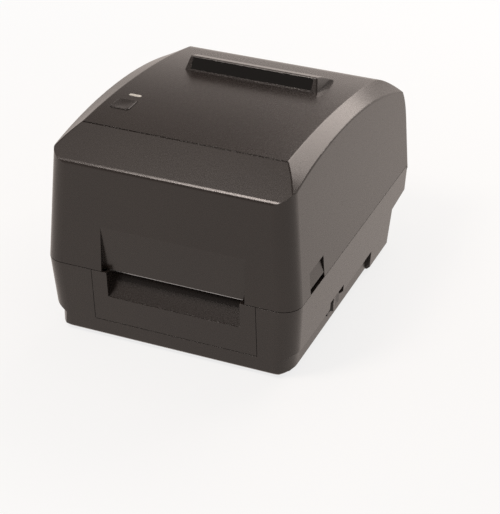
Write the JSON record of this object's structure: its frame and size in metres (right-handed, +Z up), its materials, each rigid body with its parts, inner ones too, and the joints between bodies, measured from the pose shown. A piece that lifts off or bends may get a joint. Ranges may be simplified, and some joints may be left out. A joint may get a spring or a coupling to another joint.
{
  "type": "thermal label printer",
  "caption": "Desktop thermal transfer label printer with a hinged clamshell cover, media window, label slot, feed button, release tabs, roll holders, ribbon module and geared platen.",
  "frame": {"origin": "under the middle of the case, on the plane that the rubber feet stand on", "axes": "+X to the viewer's right, +Y to the rear, +Z up; the label slot faces -Y"},
  "size_m": [0.2284, 0.286, 0.1884],
  "materials": {
    "case_plastic": "fine satin texture",
    "tray_plastic": "satin",
    "smoked_window": "smoked, clear gloss",
    "rubber": "matte",
    "steel": "zinc plated",
    "circuit_board": "solder mask",
    "gear_plastic": "natural acetal",
    "aluminium": "extruded",
    "ceramic": "glazed strip",
    "black_plastic": "black moulded",
    "lens": "translucent",
    "socket_shell": "plated shell"
  },
  "bodies": {
    "base": {"lower_case": "case_plastic", "front_exit_panel": "case_plastic", "media_tray": "tray_plastic", "gear_plate": "steel", "platen_bracket": "steel", "platen_bushes": "gear_plastic", "tear_bar": "steel", "stepper_motor": "steel", "idler_stud": "steel", "pinion_stud": "steel", "main_board": "circuit_board", "port_board": "circuit_board", "dc_inlet": "black_plastic", "usb_port": "socket_shell", "serial_port": "socket_shell", "switch_frame": "black_plastic", "rubber_feet": "rubber", "case_screws": "steel", "hinge_pins": "steel", "latch_keepers": "steel"},
    "cover": {"top_cover": "case_plastic", "media_window": "smoked_window", "led_lens": "lens", "control_board": "circuit_board", "latch_pins": "steel", "ribbon_plate_left": "steel", "ribbon_plate_right": "steel", "ribbon_cross_plate": "steel", "ribbon_guide_rods": "steel", "ribbon_drive_stud": "steel", "head_shaft": "steel"},
    "feed_button": {"feed_button": "case_plastic"},
    "power_rocker": {"power_rocker": "black_plastic"},
    "latch_tab_right": {"latch_tab_right": "case_plastic"},
    "latch_tab_left": {"latch_tab_left": "case_plastic"},
    "platen": {"platen_shaft": "steel", "platen_roller": "rubber", "platen_gear": "gear_plastic"},
    "idler": {"idler_gear": "gear_plastic"},
    "motor_rotor": {"motor_pinion": "steel"},
    "roll_holder_left": {"roll_holder_left": "tray_plastic"},
    "roll_holder_right": {"roll_holder_right": "tray_plastic"},
    "holder_pinion": {"holder_pinion": "gear_plastic"},
    "media_sensor": {"media_sensor": "black_plastic"},
    "ribbon_supply": {"ribbon_supply_spindle": "tray_plastic"},
    "ribbon_takeup": {"ribbon_takeup_spindle": "tray_plastic", "takeup_gear": "gear_plastic"},
    "ribbon_drive": {"ribbon_drive_gear": "gear_plastic"},
    "print_head": {"head_bracket": "steel", "heat_sink": "aluminium", "print_head": "ceramic", "head_spring": "steel"}
  },
  "joints": [
    {"name": "cover_hinge", "type": "hinge", "parent": "base", "child": "cover", "pos_m": [0, 0.1395, 0.068], "axis": [-1, 0, 0], "range_deg": [0, 85]},
    {"name": "feed_button_press", "type": "slide", "parent": "cover", "child": "feed_button", "axis": [0, 0, -1], "range_m": [0, 0.0012], "stiffness_N_per_m": 600},
    {"name": "power_rocker_tilt", "type": "hinge", "parent": "base", "child": "power_rocker", "pos_m": [0.1027, -0.037, 0.0195], "axis": [0, 0, -1], "range_deg": [0, 16]},
    {"name": "latch_right_pull", "type": "hinge", "parent": "cover", "child": "latch_tab_right", "pos_m": [0.1052, -0.093, 0.088], "axis": [0, -1, 0], "range_deg": [0, 7], "stiffness_Nm_per_rad": 0.3},
    {"name": "latch_left_pull", "type": "hinge", "parent": "cover", "child": "latch_tab_left", "pos_m": [-0.1052, -0.093, 0.088], "axis": [0, 1, 0], "range_deg": [0, 7], "stiffness_Nm_per_rad": 0.3},
    {"name": "platen_spin", "type": "hinge", "parent": "base", "child": "platen", "pos_m": [0, -0.113, 0.057], "axis": [1, 0, 0], "continuous": true},
    {"name": "idler_spin", "type": "hinge", "parent": "base", "child": "idler", "pos_m": [-0.07, -0.08896, 0.04078], "axis": [1, 0, 0], "continuous": true},
    {"name": "motor_spin", "type": "hinge", "parent": "base", "child": "motor_rotor", "pos_m": [-0.07, -0.06688, 0.02905], "axis": [1, 0, 0], "continuous": true},
    {"name": "holder_left_slide", "type": "slide", "parent": "base", "child": "roll_holder_left", "axis": [1, 0, 0], "range_m": [0, 0.045]},
    {"name": "holder_right_slide", "type": "slide", "parent": "base", "child": "roll_holder_right", "axis": [-1, 0, 0], "range_m": [0, 0.045]},
    {"name": "holder_pinion_spin", "type": "hinge", "parent": "base", "child": "holder_pinion", "pos_m": [0.0055, 0.042, 0.008], "axis": [0, 0, 1], "range_deg": [0, 260]},
    {"name": "media_sensor_slide", "type": "slide", "parent": "base", "child": "media_sensor", "axis": [1, 0, 0], "range_m": [-0.046, 0.046]},
    {"name": "ribbon_supply_spin", "type": "hinge", "parent": "cover", "child": "ribbon_supply", "pos_m": [0, -0.035, 0.116], "axis": [1, 0, 0], "continuous": true},
    {"name": "ribbon_takeup_spin", "type": "hinge", "parent": "cover", "child": "ribbon_takeup", "pos_m": [0, -0.085, 0.122], "axis": [1, 0, 0], "continuous": true},
    {"name": "ribbon_drive_spin", "type": "hinge", "parent": "cover", "child": "ribbon_drive", "pos_m": [0, -0.06804, 0.09486], "axis": [1, 0, 0], "continuous": true},
    {"name": "print_head_lift", "type": "hinge", "parent": "cover", "child": "print_head", "pos_m": [0, -0.069, 0.086], "axis": [-1, 0, 0], "range_deg": [0, 2.5], "stiffness_Nm_per_rad": 6}
  ],
  "couplings": [
    {"joint": "idler_spin", "follows": "platen_spin", "ratio": -0.61111},
    {"joint": "motor_spin", "follows": "platen_spin", "ratio": 1.5714},
    {"joint": "holder_right_slide", "follows": "holder_left_slide", "ratio": 1},
    {"joint": "holder_pinion_spin", "follows": "holder_left_slide", "rad_per_m": 100},
    {"joint": "ribbon_drive_spin", "follows": "ribbon_takeup_spin", "ratio": -1.6667}
  ]
}
